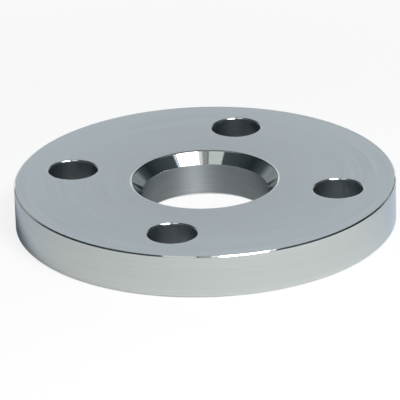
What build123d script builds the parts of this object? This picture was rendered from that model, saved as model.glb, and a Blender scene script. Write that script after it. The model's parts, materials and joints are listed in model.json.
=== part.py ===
from build123d import *
import os

# A lap joint flange: the loose backing flange that turns freely on a pipe behind a lapped
# stub end and clamps it to the next flange with four bolts. It is one solid, turned from
# stainless steel plate and drilled. Units are millimetres. The origin is the centre of the
# plain back face, and +Z runs along the bore towards the face with the collar seat.

# Driving dimensions: the plate
outside_diameter = 140.0
plate_thickness = 16.0
rim_edge_break = 0.5  # 45 degree break round both edges of the rim

# Driving dimensions: the bore
bore_diameter = 46.0  # slides over 42.4 mm pipe with 1.8 mm to spare all round
seat_width = 4.0  # the wide chamfer that clears the fillet under the stub end's collar
seat_depth = 4.0  # as deep as it is wide, so it stands at 45 degrees
bore_edge_break = 0.5  # 45 degree break where the bore leaves the back face

# Driving dimensions: the bolt holes
bolt_circle_diameter = 100.0
bolt_hole_count = 4
bolt_hole_diameter = 18.0  # passes M16 bolts
bolt_hole_edge_break = 0.4  # 45 degree break at both ends of each hole

# Radii and levels that follow from them
rim_radius = outside_diameter / 2
bore_radius = bore_diameter / 2
bolt_circle_radius = bolt_circle_diameter / 2
bolt_hole_radius = bolt_hole_diameter / 2
front_face = plate_thickness  # the back face lies at zero

# The holes straddle both axes, as they do on a flange whose pipe runs level
first_bolt_hole_angle = 180 / bolt_hole_count


def plate_section():
    """Half of the turned section, from the bore out to the rim, in the XZ plane."""
    corners = [
        (bore_radius + bore_edge_break, 0),
        (rim_radius - rim_edge_break, 0),
        (rim_radius, rim_edge_break),
        (rim_radius, front_face - rim_edge_break),
        (rim_radius - rim_edge_break, front_face),
        (bore_radius + seat_width, front_face),
        (bore_radius, front_face - seat_depth),
        (bore_radius, bore_edge_break),
    ]
    with BuildSketch(Plane.XZ) as section:
        with BuildLine():
            Polyline(*corners, close=True)
        make_face()
    return section.sketch


def bolt_hole_cutter():
    """What the drill and the countersink take out, standing on the origin.

    The countersunk ends run on past both faces at the same 45 degrees, so that the cut
    never ends level with a face.
    """
    overrun = bolt_hole_radius / 2
    mouth_radius = bolt_hole_radius + bolt_hole_edge_break + overrun
    corners = [
        (0, -overrun),
        (mouth_radius, -overrun),
        (bolt_hole_radius, bolt_hole_edge_break),
        (bolt_hole_radius, front_face - bolt_hole_edge_break),
        (mouth_radius, front_face + overrun),
        (0, front_face + overrun),
    ]
    with BuildPart() as cutter:
        with BuildSketch(Plane.XZ):
            with BuildLine():
                Polyline(*corners, close=True)
            make_face()
        revolve(axis=Axis.Z)
    return cutter.part


def make_flange():
    """The turned plate with its ring of bolt holes."""
    with BuildPart() as flange:
        add(plate_section())
        revolve(axis=Axis.Z)
        with PolarLocations(bolt_circle_radius, bolt_hole_count, start_angle=first_bolt_hole_angle):
            add(bolt_hole_cutter(), mode=Mode.SUBTRACT)
    return flange.part


os.makedirs("parts", exist_ok=True)
flange = make_flange()
flange.label = "flange"
export_step(flange, "parts/flange.step")
print("flange: volume", round(flange.volume), "cubic mm, box", flange.bounding_box().size)
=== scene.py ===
# %% [markdown]
# # A lap joint flange in turned stainless steel
#
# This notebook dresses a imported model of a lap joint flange: a round plate with a plain bore, a
# wide chamfer where the bore meets the front face, and four bolt holes. On the bench it was faced,
# turned and bored on a lathe, then drilled, and every one of those cuts leaves its own grain in the
# steel. The grain is what the eye reads as machined metal, so most of this scene is about it.

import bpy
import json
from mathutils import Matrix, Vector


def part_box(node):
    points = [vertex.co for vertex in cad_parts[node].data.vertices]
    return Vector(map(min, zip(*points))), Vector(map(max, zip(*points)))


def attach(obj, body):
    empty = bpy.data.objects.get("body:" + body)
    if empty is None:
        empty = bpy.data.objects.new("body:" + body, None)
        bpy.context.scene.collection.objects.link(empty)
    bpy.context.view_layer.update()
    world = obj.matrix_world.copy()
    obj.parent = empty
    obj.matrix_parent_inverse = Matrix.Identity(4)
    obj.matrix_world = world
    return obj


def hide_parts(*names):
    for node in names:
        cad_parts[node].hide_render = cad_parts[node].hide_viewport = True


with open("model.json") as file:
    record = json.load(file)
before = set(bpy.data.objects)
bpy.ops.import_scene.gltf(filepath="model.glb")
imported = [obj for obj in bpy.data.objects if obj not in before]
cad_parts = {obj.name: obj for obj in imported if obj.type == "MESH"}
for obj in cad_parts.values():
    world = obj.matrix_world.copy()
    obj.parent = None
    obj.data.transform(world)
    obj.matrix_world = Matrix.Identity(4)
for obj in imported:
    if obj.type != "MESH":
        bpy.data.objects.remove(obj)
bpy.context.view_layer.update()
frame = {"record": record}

# %% [markdown]
# ## Sizes
#
# Blender works in metres, in the same frame as the CAD model: the back face lies on the floor at
# z = 0, and the bore runs up the Z axis. The sizes could be typed in again, but then they could
# drift from the model, so they are read from the frame: the outside from the node's box, and the
# bore and the holes from the mounts that the record states. Only the small edge break round the
# rim, which no mount describes, is named here.

# %% Sizes
import json
import math

import bmesh
import bpy
from mathutils import Matrix, Vector

MM = 0.001

low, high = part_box("flange")
rim_radius = high.x
front_face = high.z

mounts = {mount["name"]: mount for mount in frame["record"]["mounts"]}
bore = mounts["bore"]
bore_radius = bore["dims"]["r_mm"] * MM
bore_half_length = bore["dims"]["length_mm"] * MM / 2
bore_edge_break = bore["pos_m"][2] - bore_half_length
seat_depth = front_face - (bore["pos_m"][2] + bore_half_length)
seat_width = seat_depth

pattern = mounts["bolt_holes"]["dims"]
bolt_circle_radius = pattern["pcd_mm"] * MM / 2
bolt_hole_radius = pattern["hole_r_mm"] * MM
bolt_hole_edge_break = (front_face - mounts["bolt_hole_1"]["dims"]["length_mm"] * MM) / 2
rim_edge_break = 0.5 * MM

print("rim", rim_radius / MM, "bore", bore_radius / MM, "thickness", front_face / MM, "mm")
print("seat", round(seat_width / MM, 3), "x", round(seat_depth / MM, 3), "mm")

# %% [markdown]
# ## The turned and drilled surfaces
#
# The CAD node has the right form, but it is a net of flat triangles, and bright steel shows every
# one of them. So the same form is made again as a smooth skin. A lathe makes a surface by turning
# one outline about an axis, and Blender's spin does the same: a line of corners in the XZ plane is
# swept round a vertical axis. A cylinder with boolean cuts would give the same form, but its mesh
# would be ragged round the holes, and the reflections would show it.
#
# No real corner is perfectly sharp. So each corner of the line also says how far it is rounded, and
# a bevel rounds it before the spin. The thin round is what catches the light along a real edge.

# %% Spin one outline
sharp = 0.07 * MM
round_steps = 4


def turned_surface(mesh, corners, axis_x, axis_y, steps):
    """Sweeps a line of (radius, height, rounding) corners right round a vertical axis."""
    before = set(mesh.verts)
    line = [mesh.verts.new((axis_x + radius, axis_y, height)) for radius, height, _ in corners]
    for start, end in zip(line, line[1:]):
        mesh.edges.new((start, end))
    for corner, (_, _, rounding) in list(zip(line, corners))[1:-1]:
        bmesh.ops.bevel(
            mesh,
            geom=[corner],
            offset=rounding,
            offset_type="OFFSET",
            segments=round_steps,
            profile=0.5,
            affect="VERTICES",
            material=-1,
        )
    outline = [vert for vert in mesh.verts if vert not in before]
    edges = list({edge for vert in outline for edge in vert.link_edges})
    bmesh.ops.spin(
        mesh,
        geom=outline + edges,
        cent=(axis_x, axis_y, 0),
        axis=(0, 0, 1),
        angle=math.tau,
        steps=steps,
        use_merge=True,
    )
    print("swept an outline of", len(outline), "points in", steps, "steps")


# %% [markdown]
# ## The rim
#
# The rim was turned between the two faces, and both of its edges were broken with a small chamfer.
# A bevel leaves the two end points of a line alone, so the line starts and ends a short step in on
# the faces, which gives the last corners a side to be rounded against.

# %% Sweep the rim
face_step = 1 * MM
rim_steps = 360

skin = bmesh.new()
turned_surface(
    skin,
    [
        (rim_radius - rim_edge_break - face_step, 0, sharp),
        (rim_radius - rim_edge_break, 0, sharp),
        (rim_radius, rim_edge_break, sharp),
        (rim_radius, front_face - rim_edge_break, sharp),
        (rim_radius - rim_edge_break, front_face, sharp),
        (rim_radius - rim_edge_break - face_step, front_face, sharp),
    ],
    axis_x=0,
    axis_y=0,
    steps=rim_steps,
)

# %% [markdown]
# ## The bore and its seat
#
# The bore lets the pipe through. The wide chamfer at its mouth is the seat: it clears the round
# corner of the pipe's lapped end, so the lap lies flat on the front face. The two are one outline,
# because one boring bar cuts both.
#
# The lap rubs on the corner between the seat and the front face, so a machinist often eases that
# corner by hand while the work still turns. Here it is rounder than the others, and shows as a
# thin pale line at the sides of the mouth.

# %% Sweep the bore and the seat
bore_steps = 240
mouth_rounding = 0.45 * MM

turned_surface(
    skin,
    [
        (bore_radius + seat_width + face_step, front_face, sharp),
        (bore_radius + seat_width, front_face, mouth_rounding),
        (bore_radius, front_face - seat_depth, sharp),
        (bore_radius, bore_edge_break, sharp),
        (bore_radius + bore_edge_break, 0, sharp),
        (bore_radius + bore_edge_break + face_step, 0, sharp),
    ],
    axis_x=0,
    axis_y=0,
    steps=bore_steps,
)

# %% [markdown]
# ## The bolt holes
#
# Each hole was drilled through and then touched with a countersink at both ends, which takes off
# the burr. All four are one outline, swept round the places that the mounts give.

# %% Sweep the bolt holes
bolt_hole_steps = 120

for number in range(pattern["count"]):
    hole_x, hole_y, _ = mounts[f"bolt_hole_{number + 1}"]["pos_m"]
    turned_surface(
        skin,
        [
            (bolt_hole_radius + bolt_hole_edge_break + face_step, front_face, sharp),
            (bolt_hole_radius + bolt_hole_edge_break, front_face, sharp),
            (bolt_hole_radius, front_face - bolt_hole_edge_break, sharp),
            (bolt_hole_radius, bolt_hole_edge_break, sharp),
            (bolt_hole_radius + bolt_hole_edge_break, 0, sharp),
            (bolt_hole_radius + bolt_hole_edge_break + face_step, 0, sharp),
        ],
        axis_x=hole_x,
        axis_y=hole_y,
        steps=bolt_hole_steps,
    )

# %% [markdown]
# ## The two flat faces
#
# What is left open is the flat face at each end, a disc with five holes in it. Its border is the
# set of open edges at that height, and a triangle fill closes them all in one go. Long thin
# triangles do no harm here, because a flat face has one normal all over.

# %% Close the flat faces
same_height = 0.0001 * MM

for height in (0, front_face):
    border = [
        edge
        for edge in skin.edges
        if edge.is_boundary and all(abs(vert.co.z - height) < same_height for vert in edge.verts)
    ]
    bmesh.ops.triangle_fill(skin, edges=border, use_beauty=True, use_dissolve=False)
    print("closed the face at", round(height / MM, 3), "mm, with", len(border), "border edges")

bmesh.ops.recalc_face_normals(skin, faces=skin.faces)
open_edges = [edge for edge in skin.edges if not edge.is_manifold]
print("faces:", len(skin.faces), "open edges:", len(open_edges))
print("volume:", round(skin.calc_volume() / MM**3), "cubic mm")

# %% [markdown]
# ## Which cut made which face
#
# Each cut gets its own finish, so the faces are sorted by the cut that made them. It shows in the
# way that a face points and in how far it lies from the axis: level faces were faced off, upright
# ones were turned, bored or drilled, and sloping ones are the seat or a broken edge.

# %% Sort the faces into finishes
FINISHES = ["faced", "turned_rim", "bored", "drilled", "seat", "eased_mouth", "edge_break"]
level_limit = 0.999
upright_limit = 0.05
bore_side = (bore_radius + bolt_circle_radius - bolt_hole_radius) / 2
rim_side = (rim_radius + bolt_circle_radius + bolt_hole_radius) / 2
seat_face_area = seat_depth * bore_radius * math.tau / bore_steps


def finish_of(face):
    """The name of the cut that made a face."""
    centre = face.calc_center_median()
    radius = math.hypot(centre.x, centre.y)
    lean = abs(face.normal.z)
    if lean > level_limit:
        return "faced"
    if lean < upright_limit:
        return "bored" if radius < bore_side else "turned_rim" if radius > rim_side else "drilled"
    if radius < bore_side and face.calc_area() > seat_face_area / 2:
        return "seat"
    if radius < bore_side and centre.z > front_face - mouth_rounding:
        return "eased_mouth"
    return "edge_break"


for face in skin.faces:
    face.material_index = FINISHES.index(finish_of(face))
    face.smooth = True
for index, finish in enumerate(FINISHES):
    print(finish, "faces:", sum(1 for face in skin.faces if face.material_index == index))

# %% [markdown]
# ## The finished mesh
#
# The skin becomes one object that stands for the CAD node. Smooth shading alone would let the
# flat faces sag towards their rounded edges, because a corner's normal is the mean of its faces.
# Weighted normals let the large faces win, so that flats stay flat and only the thin rounds turn.

# %% Make the object
flange_mesh = bpy.data.meshes.new("machined_flange")
skin.to_mesh(flange_mesh)
skin.free()
flange = bpy.data.objects.new("machined_flange", flange_mesh)
bpy.context.collection.objects.link(flange)

weighted = flange.modifiers.new("weighted_normals", "WEIGHTED_NORMAL")
weighted.mode = "FACE_AREA"
weighted.weight = 50

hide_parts("flange")
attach(flange, "root")
print("triangles:", sum(len(face.vertices) - 2 for face in flange_mesh.polygons))

# %% [markdown]
# ## Building materials from nodes
#
# Blender's materials are small graphs of nodes. One function turns the hex colours that people
# read into the linear values that the shader works in, and one adds a node with its settings and
# links. An input is given by its name, or by i and its number where a node has several alike.

# %% Node helpers


def linear(hex_colour):
    """An sRGB hex colour as the linear RGBA that Blender's sockets take."""
    channels = [int(hex_colour[i : i + 2], 16) / 255 for i in (1, 3, 5)]
    return tuple(c / 12.92 if c <= 0.04045 else ((c + 0.055) / 1.055) ** 2.4 for c in channels) + (1.0,)


def add_node(tree, kind, settings=None, **inputs):
    """Adds a node; settings are its own options, and inputs are values or sockets to link."""
    node = tree.nodes.new(kind)
    for option, value in (settings or {}).items():
        setattr(node, option, value)
    for name, value in inputs.items():
        key = int(name[1:]) if name[0] == "i" and name[1:].isdigit() else name.replace("_", " ")
        socket = node.inputs[key]
        if isinstance(value, bpy.types.NodeSocket):
            tree.links.new(value, socket)
        else:
            socket.default_value = value
    return node


def new_material(name):
    """A material with nothing in its node tree yet."""
    material = bpy.data.materials.new(name)
    material.use_nodes = True
    material.node_tree.nodes.clear()
    return material, material.node_tree


# %% [markdown]
# ## Turning marks
#
# A turning tool moves on by its feed at each turn, and leaves one fine groove a turn: about
# 0.15 mm from groove to groove on a face like this, which is less than half a pixel here. So the
# grooves are drawn several times coarser than they are, and fainter. They are rings on the faces
# and on the seat, and level lines on the walls.
#
# One measure serves for all of them: the distance from the axis plus the height. It grows across
# the grooves on a face, on a wall and on the seat alike. A drilled hole has its own axis, so there
# the height alone is used. The direction from the axis goes into the same noise, with a small
# scale, so that a groove is not the same all the way round. That direction is a unit vector, and
# an angle in its place would leave a seam where a full turn meets zero.

# %% Marks of the cut
mark_drift = 1.5


def turning_marks(tree, place, spacing, radius_share):
    """Noise, from 0 to 1, that changes across the grooves and hardly along them."""
    flat = add_node(tree, "ShaderNodeVectorMath", {"operation": "MULTIPLY"}, i0=place, i1=(1, 1, 0))
    outward = add_node(tree, "ShaderNodeVectorMath", {"operation": "NORMALIZE"}, i0=flat.outputs[0])
    radius = add_node(tree, "ShaderNodeVectorMath", {"operation": "LENGTH"}, i0=flat.outputs[0])
    height = add_node(tree, "ShaderNodeSeparateXYZ", None, i0=place).outputs["Z"]
    across = add_node(
        tree,
        "ShaderNodeMath",
        {"operation": "MULTIPLY_ADD"},
        i0=radius.outputs["Value"],
        i1=radius_share,
        i2=height,
    )
    turns = add_node(tree, "ShaderNodeMath", {"operation": "DIVIDE"}, i0=across.outputs[0], i1=spacing)
    across_only = add_node(tree, "ShaderNodeCombineXYZ", None, Z=turns.outputs[0])
    spot = add_node(
        tree,
        "ShaderNodeVectorMath",
        {"operation": "MULTIPLY_ADD"},
        i0=outward.outputs[0],
        i1=(mark_drift, mark_drift, 0),
        i2=across_only.outputs[0],
    )
    noise = add_node(tree, "ShaderNodeTexNoise", None, Vector=spot.outputs[0], Scale=1.0, Detail=2.0)
    return noise.outputs[0], radius.outputs["Value"]


# %% [markdown]
# ## The direction of the grain
#
# Grooves spread a reflection across themselves and leave it narrow along themselves. The shader
# does this with its anisotropy, which needs a tangent: the direction in which the highlight is
# drawn out, so the one across the grooves. The direction along a groove is Z cross the point's
# place, and the surface's normal cross that lies across it. This comes out as pointing to the axis
# on the faces, and as straight up and down on the walls.

# %% Direction across the grooves


def across_the_grooves(tree, coordinates):
    """The unit vector in the surface that crosses the grooves of a cut round the Z axis."""
    along = add_node(
        tree,
        "ShaderNodeVectorMath",
        {"operation": "CROSS_PRODUCT"},
        i0=(0, 0, 1),
        i1=coordinates.outputs["Object"],
    )
    across = add_node(
        tree,
        "ShaderNodeVectorMath",
        {"operation": "CROSS_PRODUCT"},
        i0=coordinates.outputs["Normal"],
        i1=along.outputs[0],
    )
    unit = add_node(tree, "ShaderNodeVectorMath", {"operation": "NORMALIZE"}, i0=across.outputs[0])
    return unit.outputs[0]


# %% [markdown]
# ## Machined stainless steel
#
# All of the finishes are one metal, 304 stainless steel, a pale and slightly cool grey. What
# differs is how each was cut, so one function makes them all from a few facts: the colour, the
# roughness, how strong the grain is, and how far apart, how deep and how marked its grooves are.
# A groove changes the shade and the gloss a little, and a bump gives it a real slope.
#
# The colour of a face is also made a little darker round the bore than near the rim. Seen at a
# grazing angle, iron and its alloys dip a little in brightness and turn bluish. The shader has this
# as the specular tint of a metal, and it matters at the far left and right of the rim.

# %% Steel
faint_mark = 0.32
strong_mark = 0.68


def steel(
    name,
    colour,
    roughness,
    anisotropic,
    spacing,
    depth,
    shade_change,
    gloss_change,
    radius_share=1.0,
    bore_shade=1.0,
    grazing_tint="#FFFFFF",
):
    """Stainless steel that was cut round the Z axis; spacing and depth are in metres."""
    material, tree = new_material(name)
    coordinates = add_node(tree, "ShaderNodeTexCoord")
    marks, radius = turning_marks(tree, coordinates.outputs["Object"], spacing, radius_share)
    shade = add_node(
        tree,
        "ShaderNodeMapRange",
        None,
        i0=marks,
        i1=faint_mark,
        i2=strong_mark,
        i3=1 - shade_change,
        i4=1 + shade_change,
    )
    # The colour is made a little darker round the bore than near the rim, by bore_shade.
    darker_near_bore = add_node(
        tree,
        "ShaderNodeMapRange",
        None,
        i0=radius,
        i1=bore_radius + seat_width,
        i2=rim_radius,
        i3=bore_shade,
        i4=1.0,
    )
    level = add_node(
        tree,
        "ShaderNodeMath",
        {"operation": "MULTIPLY"},
        i0=shade.outputs[0],
        i1=darker_near_bore.outputs[0],
    )
    base = add_node(
        tree,
        "ShaderNodeVectorMath",
        {"operation": "SCALE"},
        i0=linear(colour)[:3],
        Scale=level.outputs[0],
    )
    gloss = add_node(
        tree,
        "ShaderNodeMapRange",
        None,
        i0=marks,
        i1=faint_mark,
        i2=strong_mark,
        i3=roughness + gloss_change,
        i4=roughness - gloss_change,
    )
    slope = add_node(tree, "ShaderNodeBump", None, Strength=1.0, Distance=depth, Height=marks)
    shader = add_node(
        tree,
        "ShaderNodeBsdfPrincipled",
        None,
        Base_Color=base.outputs[0],
        Metallic=1.0,
        Specular_Tint=linear(grazing_tint),
        Roughness=gloss.outputs[0],
        Anisotropic=anisotropic,
        Tangent=across_the_grooves(tree, coordinates),
        Normal=slope.outputs[0],
    )
    add_node(tree, "ShaderNodeOutputMaterial", None, Surface=shader.outputs[0])
    print(name, "has", len(tree.nodes), "nodes")
    return material


# %% [markdown]
# ## The seven finishes
#
# - Faced: cut with a small-nosed tool at a coarse feed. The grooves are fine and steep, so the face
#   is an even grey satin that mirrors nothing sharply, with a faint sheen across the grooves.
# - Turned rim: cut the same way and then run against a fine cloth, which leaves a satin with long
#   soft reflections up and down.
# - Bored: a long bar chatters a little, so the wall is duller than the rim. Its colour is greyer
#   than the rim's too, as painted shade for the shadowing inside the bore.
# - Drilled: a twist drill rubs as it cuts. The wall sees little light, and its colour is made
#   darker too, as painted shade down the hole.
# - Seat: a short, stiff cut with a wide sharp tool, almost a mirror.
# - Eased mouth: the corner that was rounded by hand with fine emery, a little greyer than the seat.
# - Edge break: a deburring tool's burnished corner, a dark line that sparkles where it meets a lamp.

# %% Make the finishes
finishes = {
    "faced": steel(
        "faced_stainless_steel",
        "#BAC2C7",
        roughness=0.45,
        anisotropic=0.1,
        spacing=0.6 * MM,
        depth=0.003 * MM,
        shade_change=0.015,
        gloss_change=0.02,
        bore_shade=0.9,
    ),
    "turned_rim": steel(
        "turned_stainless_steel",
        "#C1C5C3",
        roughness=0.16,
        anisotropic=0.7,
        spacing=0.9 * MM,
        depth=0.002 * MM,
        shade_change=0.02,
        gloss_change=0.02,
        grazing_tint="#E1E8F6",
    ),
    "bored": steel(
        "bored_stainless_steel",
        # The darker colour is painted shade for the shadowing inside the bore.
        "#A1A6A9",
        roughness=0.6,
        anisotropic=0.8,
        spacing=0.9 * MM,
        depth=0.002 * MM,
        shade_change=0.02,
        gloss_change=0.03,
    ),
    "drilled": steel(
        "drilled_stainless_steel",
        # The dark colour is painted shade for the little light down a hole.
        "#9EA5A9",
        roughness=0.35,
        anisotropic=0.4,
        spacing=0.8 * MM,
        depth=0.004 * MM,
        shade_change=0.05,
        gloss_change=0.04,
        radius_share=0.0,
    ),
    "seat": steel(
        "fine_turned_stainless_steel",
        "#CBCDCD",
        roughness=0.07,
        anisotropic=0.3,
        spacing=0.5 * MM,
        depth=0.0003 * MM,
        shade_change=0.02,
        gloss_change=0.01,
    ),
    "eased_mouth": steel(
        "eased_stainless_steel",
        "#B4B7B8",
        roughness=0.08,
        anisotropic=0.0,
        spacing=0.5 * MM,
        depth=0.0001 * MM,
        shade_change=0.01,
        gloss_change=0.01,
    ),
    "edge_break": steel(
        "deburred_stainless_steel",
        "#DCDEDE",
        roughness=0.06,
        anisotropic=0.0,
        spacing=0.5 * MM,
        depth=0.0001 * MM,
        shade_change=0.01,
        gloss_change=0.01,
    ),
}
for finish in FINISHES:
    flange_mesh.materials.append(finishes[finish])

# %% [markdown]
# ## The camera
#
# The view is a product shot from a good distance, about 23 degrees above the floor. Azimuth turns
# the view round Z, and the small roll is the tilt that the picture has. A long lens from far away
# keeps the two ends of the plate nearly the same size, and the distance was found from the little
# that they differ.
#
# The camera could use lens shift to place the plate in the frame, but a shift slides other views
# too. Instead it is aimed a little off the plate's centre: the offset in pixels is turned into
# metres at the plate's distance.

# %% Camera
image_width = 400
camera_azimuth = math.radians(-30.82)
camera_elevation = math.radians(23.17)
camera_roll = math.radians(1.70)
camera_distance = 1.892
rim_radius_in_pixels = 190.9
face_centre_pixel = Vector((204.82, 178.91))

camera_data = bpy.data.cameras.new("camera")
camera = bpy.data.objects.new("camera", camera_data)
bpy.context.collection.objects.link(camera)
bpy.context.scene.camera = camera

back = Vector((
    math.sin(camera_azimuth) * math.cos(camera_elevation),
    -math.cos(camera_azimuth) * math.cos(camera_elevation),
    math.sin(camera_elevation),
))
rolled = back.to_track_quat("Z", "Y").to_matrix() @ Matrix.Rotation(-camera_roll, 3, "Z")
pixel = rim_radius / rim_radius_in_pixels
off_middle = (face_centre_pixel - Vector((image_width / 2, image_width / 2))) * pixel
face_centre = Vector((0, 0, front_face))
aim = face_centre - rolled.col[0] * off_middle.x + rolled.col[1] * off_middle.y
camera.location = face_centre + back * camera_distance
sight = (camera.location - aim).normalized()
camera.rotation_euler = (
    sight.to_track_quat("Z", "Y").to_matrix() @ Matrix.Rotation(-camera_roll, 3, "Z")
).to_euler()
camera_data.sensor_width = 36
camera_data.lens = camera_data.sensor_width * camera_distance / (pixel * image_width)
camera_data.clip_start = 0.1
camera_data.clip_end = 50
print("lens", round(camera_data.lens, 1), "mm")

# %% [markdown]
# ## The floor
#
# The part lies on a sheet of white paper that fills the view. Paper in real light is never quite
# white and never even, and product pictures lift it to white afterwards. Here a part of the paper's
# colour is its own glow, which only the camera, reflections and glass can see, so it lights nothing.
# Far out the glow is whole, and the paper is plain white. Close to the flange it leaves the camera
# some of the real shadow, and the metal sees none of it, because the dark foot of the rim is a
# reflection of that shadow.

# %% Floor
floor_half_width = 6
near_distance = 1.5 * rim_radius
far_distance = 6 * rim_radius
near_glow_in_view = 0.85

sheet = bmesh.new()
bmesh.ops.create_grid(sheet, x_segments=1, y_segments=1, size=floor_half_width)
floor_mesh = bpy.data.meshes.new("floor")
sheet.to_mesh(floor_mesh)
sheet.free()
floor = bpy.data.objects.new("floor", floor_mesh)
bpy.context.collection.objects.link(floor)

paper, tree = new_material("white_paper")
diffuse = add_node(tree, "ShaderNodeBsdfDiffuse", None, Color=linear("#F4F4F4"))
glow = add_node(tree, "ShaderNodeEmission", None, Color=linear("#FFFFFF"), Strength=1.0)
path = add_node(tree, "ShaderNodeLightPath")
view_or_gloss = add_node(
    tree,
    "ShaderNodeMath",
    {"operation": "ADD", "use_clamp": True},
    i0=path.outputs["Is Camera Ray"],
    i1=path.outputs["Is Glossy Ray"],
)
seen = add_node(
    tree,
    "ShaderNodeMath",
    {"operation": "ADD", "use_clamp": True},
    i0=view_or_gloss.outputs[0],
    i1=path.outputs["Is Transmission Ray"],
)
near_share = add_node(
    tree,
    "ShaderNodeMath",
    {"operation": "MULTIPLY"},
    i0=path.outputs["Is Camera Ray"],
    i1=near_glow_in_view,
)
place = add_node(tree, "ShaderNodeTexCoord")
distance = add_node(tree, "ShaderNodeVectorMath", {"operation": "LENGTH"}, i0=place.outputs["Object"])
share_by_distance = add_node(
    tree,
    "ShaderNodeMapRange",
    {"interpolation_type": "SMOOTHSTEP"},
    i0=distance.outputs["Value"],
    i1=near_distance,
    i2=far_distance,
    i3=near_share.outputs[0],
    i4=1.0,
)
share = add_node(
    tree,
    "ShaderNodeMath",
    {"operation": "MULTIPLY"},
    i0=seen.outputs[0],
    i1=share_by_distance.outputs[0],
)
surface = add_node(
    tree,
    "ShaderNodeMixShader",
    None,
    i0=share.outputs[0],
    i1=diffuse.outputs[0],
    i2=glow.outputs[0],
)
add_node(tree, "ShaderNodeOutputMaterial", None, Surface=surface.outputs[0])
floor_mesh.materials.append(paper)
print("floor", 2 * floor_half_width, "m wide")

# %% [markdown]
# ## The room
#
# Bright metal shows its surroundings, so a studio is as much about what is dark as about what is
# light. The room is a world of level bands: grey walls low down, a dark band half way up, which
# gives the seat its black reflections, and a dark ceiling with a little light round its border.
# Behind the object the walls reach higher, as a backdrop does, and so they do on the left.

# %% World
right_of_camera = Vector((math.cos(camera_azimuth), math.sin(camera_azimuth), 0))
away_from_camera = Vector((-math.sin(camera_azimuth), math.cos(camera_azimuth), 0))
tilt_of_bands = 0.073
backdrop_lift = 0.3
ROOM_BANDS = [
    (0.00, "#979C9F"),
    (0.10, "#8F969B"),
    (0.25, "#96A0A3"),
    (0.40, "#4F595C"),
    (0.60, "#273137"),
    (0.85, "#4D5559"),
    (1.00, "#191D20"),
]

world = bpy.data.worlds.new("studio")
bpy.context.scene.world = world
world.use_nodes = True
tree = world.node_tree
tree.nodes.clear()
direction = add_node(tree, "ShaderNodeTexCoord").outputs["Generated"]
height = add_node(
    tree,
    "ShaderNodeVectorMath",
    {"operation": "DOT_PRODUCT"},
    i0=direction,
    i1=right_of_camera * tilt_of_bands + Vector((0, 0, 1)),
)
depth = add_node(
    tree,
    "ShaderNodeVectorMath",
    {"operation": "DOT_PRODUCT"},
    i0=direction,
    i1=away_from_camera,
)
steep = add_node(tree, "ShaderNodeMath", {"operation": "POWER"}, i0=depth.outputs["Value"], i1=4.0)
band = add_node(
    tree,
    "ShaderNodeMath",
    {"operation": "MULTIPLY_ADD"},
    i0=steep.outputs[0],
    i1=-backdrop_lift,
    i2=height.outputs["Value"],
)
ramp = add_node(tree, "ShaderNodeValToRGB", None, i0=band.outputs[0])
stops = ramp.color_ramp.elements
stops.remove(stops[1])
stops[0].position = ROOM_BANDS[0][0]
stops[0].color = linear(ROOM_BANDS[0][1])
for position, colour in ROOM_BANDS[1:]:
    stops.new(position).color = linear(colour)
background = add_node(tree, "ShaderNodeBackground", None, Color=ramp.outputs[0], Strength=1.0)
add_node(tree, "ShaderNodeOutputWorld", None, Surface=background.outputs[0])
print("bands in the room:", len(stops))

# %% [markdown]
# ## The light panels
#
# A softbox is a lamp behind a white cloth, and its whole front glows evenly. An area lamp does the
# same. Its brightness is given as radiance, what a mirror would show, because a panel's watts also
# depend on its size. The camera doesn't see the panels themselves, only what they do to the metal.

# %% A light panel


def light_panel(name, width, height, place, rotation, radiance, colour="#FFFFFF"):
    """A rectangle of even light, which the camera itself doesn't see."""
    data = bpy.data.lights.new(name, "AREA")
    data.shape = "RECTANGLE"
    data.size = width
    data.size_y = height
    data.color = linear(colour)[:3]
    data.energy = radiance * math.pi * width * height
    lamp = bpy.data.objects.new(name, data)
    bpy.context.collection.objects.link(lamp)
    lamp.location = place
    lamp.rotation_euler = rotation
    lamp.visible_camera = False
    print(name, "watts", round(data.energy, 2))


# %% [markdown]
# ## The softboxes over the plate
#
# The softboxes hang level at one height, and each is placed by its edges as seen from the camera.
# The mirror of the seat shows them one beside the other: the strip, the key, the soft edge of the
# key and the fill. Most of the paper's light comes from the one in front of the key, which lies too
# far out to burn a white patch into the level face when it is seen from above. The one straight
# overhead is dim, so that the mouth's rounded corner stays dark at the back.

# %% Softboxes
softbox_height = 0.45
front_edge = -0.40
key_front_edge = -0.26
back_edge = -0.075


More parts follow.
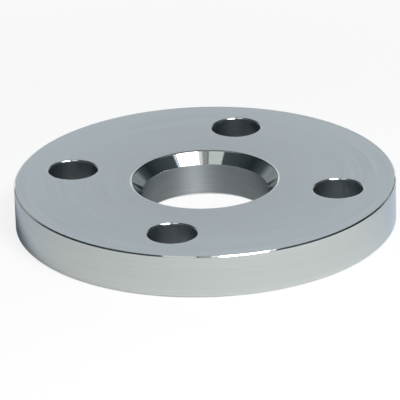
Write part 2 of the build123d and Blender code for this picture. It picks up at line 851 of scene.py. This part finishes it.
def softbox(name, left, right, near, far, radiance, colour="#FFFFFF"):
    """A level panel over the plate, placed by its edges as seen from the camera."""
    middle = right_of_camera * (left + right) / 2 + away_from_camera * (near + far) / 2
    place = middle + Vector((0, 0, softbox_height))
    light_panel(name, right - left, far - near, place, (0, 0, camera_azimuth), radiance, colour)


softbox("front_softbox", left=0.050, right=0.233, near=front_edge, far=key_front_edge, radiance=30.0)
softbox("key_softbox", left=0.050, right=0.233, near=key_front_edge, far=back_edge, radiance=5.5)
softbox("key_edge", left=0.015, right=0.050, near=front_edge, far=back_edge, radiance=0.9)
softbox("key_fade", left=-0.030, right=0.015, near=front_edge, far=back_edge, radiance=0.35)
softbox(
    "fill_softbox",
    left=-0.164,
    right=-0.038,
    near=front_edge,
    far=back_edge,
    radiance=0.75,
    colour="#F8FFFB",
)
softbox(
    "strip_softbox",
    left=0.243,
    right=0.257,
    near=front_edge,
    far=-0.03,
    radiance=1.3,
    colour="#E6F4FF",
)
softbox("overhead_softbox", left=-0.164, right=0.250, near=-0.06, far=0.20, radiance=0.5)

# %% [markdown]
# ## The backdrop panel
#
# A level face seen from a low camera mirrors what stands behind it. So the front face takes its
# even grey from a broad upright panel behind the plate, as it would from a lit paper backdrop. A
# lamp overhead could light the face too, but a satin face turns little of that to the camera.

# %% Backdrop panel
backdrop_left = -0.35
backdrop_right = 0.35
backdrop_bottom = 0.1
backdrop_top = 0.8
backdrop_distance = 1.0
light_panel(
    "backdrop_panel",
    width=backdrop_right - backdrop_left,
    height=backdrop_top - backdrop_bottom,
    place=(
        right_of_camera * (backdrop_left + backdrop_right) / 2
        + away_from_camera * backdrop_distance
        + Vector((0, 0, (backdrop_bottom + backdrop_top) / 2))
    ),
    rotation=(-math.pi / 2, 0, camera_azimuth),
    radiance=0.92,
)

# %% [markdown]
# ## Last settings
#
# The Standard view shows a colour as it is written, with no film curve on it.

# %% Colour view
bpy.context.scene.view_settings.view_transform = "Standard"
